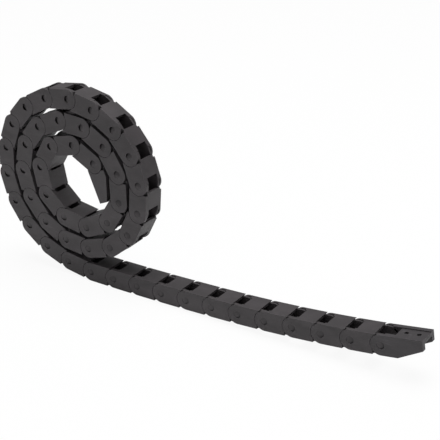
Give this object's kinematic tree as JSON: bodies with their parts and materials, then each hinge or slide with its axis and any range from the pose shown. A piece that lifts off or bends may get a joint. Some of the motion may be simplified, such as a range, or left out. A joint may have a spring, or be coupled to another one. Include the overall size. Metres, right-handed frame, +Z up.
{
  "type": "cable drag chain",
  "caption": "Plastic cable drag chain of snap links with an end bracket at each end, that guides moving cables and bends one way only; shown as an upright coil with a straight tail.",
  "frame": {"origin": "middle of the underside of link_11, the link on which the tail rests where the coil leaves it", "axes": "+X along the tail to the free end bracket, +Y across the chain (hinge axes), +Z up"},
  "size_m": [0.3244, 0.0166, 0.1361],
  "materials": {
    "nylon": "satin moulded"
  },
  "bodies": {
    "free_end_bracket": {"free_end_bracket": "nylon"},
    "link_01": {"link_01": "nylon"},
    "link_02": {"link_02": "nylon"},
    "link_03": {"link_03": "nylon"},
    "link_04": {"link_04": "nylon"},
    "link_05": {"link_05": "nylon"},
    "link_06": {"link_06": "nylon"},
    "link_07": {"link_07": "nylon"},
    "link_08": {"link_08": "nylon"},
    "link_09": {"link_09": "nylon"},
    "link_10": {"link_10": "nylon"},
    "link_11": {"link_11": "nylon"},
    "link_12": {"link_12": "nylon"},
    "link_13": {"link_13": "nylon"},
    "link_14": {"link_14": "nylon"},
    "link_15": {"link_15": "nylon"},
    "link_16": {"link_16": "nylon"},
    "link_17": {"link_17": "nylon"},
    "link_18": {"link_18": "nylon"},
    "link_19": {"link_19": "nylon"},
    "link_20": {"link_20": "nylon"},
    "link_21": {"link_21": "nylon"},
    "link_22": {"link_22": "nylon"},
    "link_23": {"link_23": "nylon"},
    "link_24": {"link_24": "nylon"},
    "link_25": {"link_25": "nylon"},
    "link_26": {"link_26": "nylon"},
    "link_27": {"link_27": "nylon"},
    "link_28": {"link_28": "nylon"},
    "link_29": {"link_29": "nylon"},
    "link_30": {"link_30": "nylon"},
    "link_31": {"link_31": "nylon"},
    "link_32": {"link_32": "nylon"},
    "link_33": {"link_33": "nylon"},
    "link_34": {"link_34": "nylon"},
    "link_35": {"link_35": "nylon"},
    "link_36": {"link_36": "nylon"},
    "link_37": {"link_37": "nylon"},
    "link_38": {"link_38": "nylon"},
    "link_39": {"link_39": "nylon"},
    "link_40": {"link_40": "nylon"},
    "link_41": {"link_41": "nylon"},
    "link_42": {"link_42": "nylon"},
    "link_43": {"link_43": "nylon"},
    "link_44": {"link_44": "nylon"},
    "link_45": {"link_45": "nylon"},
    "link_46": {"link_46": "nylon"},
    "link_47": {"link_47": "nylon"},
    "link_48": {"link_48": "nylon"},
    "inner_end_bracket": {"inner_end_bracket": "nylon"}
  },
  "joints": [
    {"name": "hinge_00", "type": "hinge", "parent": "link_01", "child": "free_end_bracket", "pos_m": [0.20947, 0, 0.01895], "axis": [0, -1, 0], "range_deg": [-1.5, 43.5]},
    {"name": "hinge_01", "type": "hinge", "parent": "link_02", "child": "link_01", "pos_m": [0.18964, 0, 0.01634], "axis": [0, -1, 0], "range_deg": [-1, 44]},
    {"name": "hinge_02", "type": "hinge", "parent": "link_03", "child": "link_02", "pos_m": [0.16977, 0, 0.01408], "axis": [0, -1, 0], "range_deg": [-1, 44]},
    {"name": "hinge_03", "type": "hinge", "parent": "link_04", "child": "link_03", "pos_m": [0.14986, 0, 0.01216], "axis": [0, -1, 0], "range_deg": [-1, 44]},
    {"name": "hinge_04", "type": "hinge", "parent": "link_05", "child": "link_04", "pos_m": [0.12992, 0, 0.01059], "axis": [0, -1, 0], "range_deg": [-1, 44]},
    {"name": "hinge_05", "type": "hinge", "parent": "link_06", "child": "link_05", "pos_m": [0.10996, 0, 0.00937], "axis": [0, -1, 0], "range_deg": [-1, 44]},
    {"name": "hinge_06", "type": "hinge", "parent": "link_07", "child": "link_06", "pos_m": [0.08998, 0, 0.0085], "axis": [0, -1, 0], "range_deg": [-0.5, 44.5]},
    {"name": "hinge_07", "type": "hinge", "parent": "link_08", "child": "link_07", "pos_m": [0.06999, 0, 0.0078], "axis": [0, -1, 0], "range_deg": [-0.5, 44.5]},
    {"name": "hinge_08", "type": "hinge", "parent": "link_09", "child": "link_08", "pos_m": [0.05, 0, 0.00727], "axis": [0, -1, 0], "range_deg": [-0.5, 44.5]},
    {"name": "hinge_09", "type": "hinge", "parent": "link_10", "child": "link_09", "pos_m": [0.03, 0, 0.00692], "axis": [0, -1, 0], "range_deg": [-0.5, 44.5]},
    {"name": "hinge_10", "type": "hinge", "parent": "link_11", "child": "link_10", "pos_m": [0.01, 0, 0.00675], "axis": [0, -1, 0], "range_deg": [-0.5, 44.5]},
    {"name": "hinge_11", "type": "hinge", "parent": "link_11", "child": "link_12", "pos_m": [-0.01, 0, 0.00675], "axis": [0, -1, 0], "range_deg": [-0.06, 9]},
    {"name": "hinge_12", "type": "hinge", "parent": "link_12", "child": "link_13", "pos_m": [-0.02975, 0, 0.00988], "axis": [0, -1, 0], "range_deg": [-33.75, 11.24]},
    {"name": "hinge_13", "type": "hinge", "parent": "link_13", "child": "link_14", "pos_m": [-0.04852, 0, 0.0168], "axis": [0, -1, 0], "range_deg": [-27.89, 17.1]},
    {"name": "hinge_14", "type": "hinge", "parent": "link_14", "child": "link_15", "pos_m": [-0.06442, 0, 0.02893], "axis": [0, -1, 0], "range_deg": [-27.31, 17.68]},
    {"name": "hinge_15", "type": "hinge", "parent": "link_15", "child": "link_16", "pos_m": [-0.07588, 0, 0.04532], "axis": [0, -1, 0], "range_deg": [-26.49, 18.5]},
    {"name": "hinge_16", "type": "hinge", "parent": "link_16", "child": "link_17", "pos_m": [-0.08155, 0, 0.0645], "axis": [0, -1, 0], "range_deg": [-25.69, 19.3]},
    {"name": "hinge_17", "type": "hinge", "parent": "link_17", "child": "link_18", "pos_m": [-0.08056, 0, 0.08448], "axis": [0, -1, 0], "range_deg": [-25.11, 19.88]},
    {"name": "hinge_18", "type": "hinge", "parent": "link_18", "child": "link_19", "pos_m": [-0.07283, 0, 0.10293], "axis": [0, -1, 0], "range_deg": [-24.88, 20.11]},
    {"name": "hinge_19", "type": "hinge", "parent": "link_19", "child": "link_20", "pos_m": [-0.05923, 0, 0.11759], "axis": [0, -1, 0], "range_deg": [-25.02, 19.97]},
    {"name": "hinge_20", "type": "hinge", "parent": "link_20", "child": "link_21", "pos_m": [-0.04144, 0, 0.12673], "axis": [0, -1, 0], "range_deg": [-25.42, 19.57]},
    {"name": "hinge_21", "type": "hinge", "parent": "link_21", "child": "link_22", "pos_m": [-0.02162, 0, 0.12938], "axis": [0, -1, 0], "range_deg": [-25.8, 19.19]},
    {"name": "hinge_22", "type": "hinge", "parent": "link_22", "child": "link_23", "pos_m": [-0.00202, 0, 0.12536], "axis": [0, -1, 0], "range_deg": [-25.79, 19.2]},
    {"name": "hinge_23", "type": "hinge", "parent": "link_23", "child": "link_24", "pos_m": [0.01516, 0, 0.11512], "axis": [0, -1, 0], "range_deg": [-25.13, 19.86]},
    {"name": "hinge_24", "type": "hinge", "parent": "link_24", "child": "link_25", "pos_m": [0.02783, 0, 0.09965], "axis": [0, -1, 0], "range_deg": [-23.98, 21.01]},
    {"name": "hinge_25", "type": "hinge", "parent": "link_25", "child": "link_26", "pos_m": [0.03412, 0, 0.08066], "axis": [0, -1, 0], "range_deg": [-22.76, 22.23]},
    {"name": "hinge_26", "type": "hinge", "parent": "link_26", "child": "link_27", "pos_m": [0.03276, 0, 0.06071], "axis": [0, -1, 0], "range_deg": [-21.91, 23.08]},
    {"name": "hinge_27", "type": "hinge", "parent": "link_27", "child": "link_28", "pos_m": [0.02368, 0, 0.04289], "axis": [0, -1, 0], "range_deg": [-21.66, 23.33]},
    {"name": "hinge_28", "type": "hinge", "parent": "link_28", "child": "link_29", "pos_m": [0.00828, 0, 0.03012], "axis": [0, -1, 0], "range_deg": [-22.01, 22.98]},
    {"name": "hinge_29", "type": "hinge", "parent": "link_29", "child": "link_30", "pos_m": [-0.01088, 0, 0.02438], "axis": [0, -1, 0], "range_deg": [-22.67, 22.32]},
    {"name": "hinge_30", "type": "hinge", "parent": "link_30", "child": "link_31", "pos_m": [-0.03078, 0, 0.02635], "axis": [0, -1, 0], "range_deg": [-22.92, 22.07]},
    {"name": "hinge_31", "type": "hinge", "parent": "link_31", "child": "link_32", "pos_m": [-0.04848, 0, 0.03565], "axis": [0, -1, 0], "range_deg": [-22.07, 22.92]},
    {"name": "hinge_32", "type": "hinge", "parent": "link_32", "child": "link_33", "pos_m": [-0.06117, 0, 0.05112], "axis": [0, -1, 0], "range_deg": [-20.26, 24.73]},
    {"name": "hinge_33", "type": "hinge", "parent": "link_33", "child": "link_34", "pos_m": [-0.06622, 0, 0.07047], "axis": [0, -1, 0], "range_deg": [-18.39, 26.6]},
    {"name": "hinge_34", "type": "hinge", "parent": "link_34", "child": "link_35", "pos_m": [-0.06207, 0, 0.09003], "axis": [0, -1, 0], "range_deg": [-17.3, 27.69]},
    {"name": "hinge_35", "type": "hinge", "parent": "link_35", "child": "link_36", "pos_m": [-0.0493, 0, 0.10543], "axis": [0, -1, 0], "range_deg": [-17.39, 27.6]},
    {"name": "hinge_36", "type": "hinge", "parent": "link_36", "child": "link_37", "pos_m": [-0.03085, 0, 0.11315], "axis": [0, -1, 0], "range_deg": [-18.37, 26.62]},
    {"name": "hinge_37", "type": "hinge", "parent": "link_37", "child": "link_38", "pos_m": [-0.0109, 0, 0.11179], "axis": [0, -1, 0], "range_deg": [-18.91, 26.08]},
    {"name": "hinge_38", "type": "hinge", "parent": "link_38", "child": "link_39", "pos_m": [0.00643, 0, 0.1018], "axis": [0, -1, 0], "range_deg": [-17.31, 27.68]},
    {"name": "hinge_39", "type": "hinge", "parent": "link_39", "child": "link_40", "pos_m": [0.01712, 0, 0.0849], "axis": [0, -1, 0], "range_deg": [-14.02, 30.97]},
    {"name": "hinge_40", "type": "hinge", "parent": "link_40", "child": "link_41", "pos_m": [0.01759, 0, 0.0649], "axis": [0, -1, 0], "range_deg": [-11.28, 33.71]},
    {"name": "hinge_41", "type": "hinge", "parent": "link_41", "child": "link_42", "pos_m": [0.00689, 0, 0.04801], "axis": [0, -1, 0], "range_deg": [-10.76, 34.23]},
    {"name": "hinge_42", "type": "hinge", "parent": "link_42", "child": "link_43", "pos_m": [-0.01147, 0, 0.04007], "axis": [0, -1, 0], "range_deg": [-12.33, 32.66]},
    {"name": "hinge_43", "type": "hinge", "parent": "link_43", "child": "link_44", "pos_m": [-0.03121, 0, 0.04329], "axis": [0, -1, 0], "range_deg": [-12.7, 32.29]},
    {"name": "hinge_44", "type": "hinge", "parent": "link_44", "child": "link_45", "pos_m": [-0.04617, 0, 0.05655], "axis": [0, -1, 0], "range_deg": [-7.96, 37.03]},
    {"name": "hinge_45", "type": "hinge", "parent": "link_45", "child": "link_46", "pos_m": [-0.05013, 0, 0.07616], "axis": [0, -1, 0], "range_deg": [-1.8, 43.19]},
    {"name": "hinge_46", "type": "hinge", "parent": "link_46", "child": "link_47", "pos_m": [-0.03959, 0, 0.09316], "axis": [0, -1, 0], "range_deg": [-0.3, 44.69]},
    {"name": "hinge_47", "type": "hinge", "parent": "link_47", "child": "link_48", "pos_m": [-0.02015, 0, 0.09784], "axis": [0, -1, 0], "range_deg": [-3.29, 41.7]},
    {"name": "hinge_48", "type": "hinge", "parent": "link_48", "child": "inner_end_bracket", "pos_m": [-0.00252, 0, 0.08839], "axis": [0, -1, 0], "range_deg": [-6, 39]}
  ],
  "couplings": [
    {"joint": "hinge_12", "follows": "hinge_11", "ratio": 1.2488},
    {"joint": "hinge_13", "follows": "hinge_11", "ratio": 1.9},
    {"joint": "hinge_14", "follows": "hinge_11", "ratio": 1.9644},
    {"joint": "hinge_15", "follows": "hinge_11", "ratio": 2.0555},
    {"joint": "hinge_16", "follows": "hinge_11", "ratio": 2.1444},
    {"joint": "hinge_17", "follows": "hinge_11", "ratio": 2.2088},
    {"joint": "hinge_18", "follows": "hinge_11", "ratio": 2.2344},
    {"joint": "hinge_19", "follows": "hinge_11", "ratio": 2.2188},
    {"joint": "hinge_20", "follows": "hinge_11", "ratio": 2.1744},
    {"joint": "hinge_21", "follows": "hinge_11", "ratio": 2.1322},
    {"joint": "hinge_22", "follows": "hinge_11", "ratio": 2.1333},
    {"joint": "hinge_23", "follows": "hinge_11", "ratio": 2.2066},
    {"joint": "hinge_24", "follows": "hinge_11", "ratio": 2.3344},
    {"joint": "hinge_25", "follows": "hinge_11", "ratio": 2.47},
    {"joint": "hinge_26", "follows": "hinge_11", "ratio": 2.5644},
    {"joint": "hinge_27", "follows": "hinge_11", "ratio": 2.5922},
    {"joint": "hinge_28", "follows": "hinge_11", "ratio": 2.5533},
    {"joint": "hinge_29", "follows": "hinge_11", "ratio": 2.48},
    {"joint": "hinge_30", "follows": "hinge_11", "ratio": 2.4522},
    {"joint": "hinge_31", "follows": "hinge_11", "ratio": 2.5466},
    {"joint": "hinge_32", "follows": "hinge_11", "ratio": 2.7477},
    {"joint": "hinge_33", "follows": "hinge_11", "ratio": 2.9555},
    {"joint": "hinge_34", "follows": "hinge_11", "ratio": 3.0766},
    {"joint": "hinge_35", "follows": "hinge_11", "ratio": 3.0666},
    {"joint": "hinge_36", "follows": "hinge_11", "ratio": 2.9577},
    {"joint": "hinge_37", "follows": "hinge_11", "ratio": 2.8977},
    {"joint": "hinge_38", "follows": "hinge_11", "ratio": 3.0755},
    {"joint": "hinge_39", "follows": "hinge_11", "ratio": 3.4411},
    {"joint": "hinge_40", "follows": "hinge_11", "ratio": 3.7455},
    {"joint": "hinge_41", "follows": "hinge_11", "ratio": 3.8033},
    {"joint": "hinge_42", "follows": "hinge_11", "ratio": 3.6288},
    {"joint": "hinge_43", "follows": "hinge_11", "ratio": 3.5877},
    {"joint": "hinge_44", "follows": "hinge_11", "ratio": 4.1144},
    {"joint": "hinge_45", "follows": "hinge_11", "ratio": 4.7988},
    {"joint": "hinge_46", "follows": "hinge_11", "ratio": 4.9655},
    {"joint": "hinge_47", "follows": "hinge_11", "ratio": 4.6333},
    {"joint": "hinge_48", "follows": "hinge_11", "ratio": 4.3333},
    {"joint": "hinge_00", "follows": "hinge_04", "ratio": 0.98},
    {"joint": "hinge_01", "follows": "hinge_04", "ratio": 1},
    {"joint": "hinge_02", "follows": "hinge_04", "ratio": 1},
    {"joint": "hinge_03", "follows": "hinge_04", "ratio": 1},
    {"joint": "hinge_05", "follows": "hinge_04", "ratio": 0.8},
    {"joint": "hinge_06", "follows": "hinge_04", "ratio": 0.1},
    {"joint": "hinge_07", "follows": "hinge_04", "ratio": 0.1},
    {"joint": "hinge_08", "follows": "hinge_04", "ratio": 0.1},
    {"joint": "hinge_09", "follows": "hinge_04", "ratio": 0.1},
    {"joint": "hinge_10", "follows": "hinge_04", "ratio": 0.1}
  ]
}
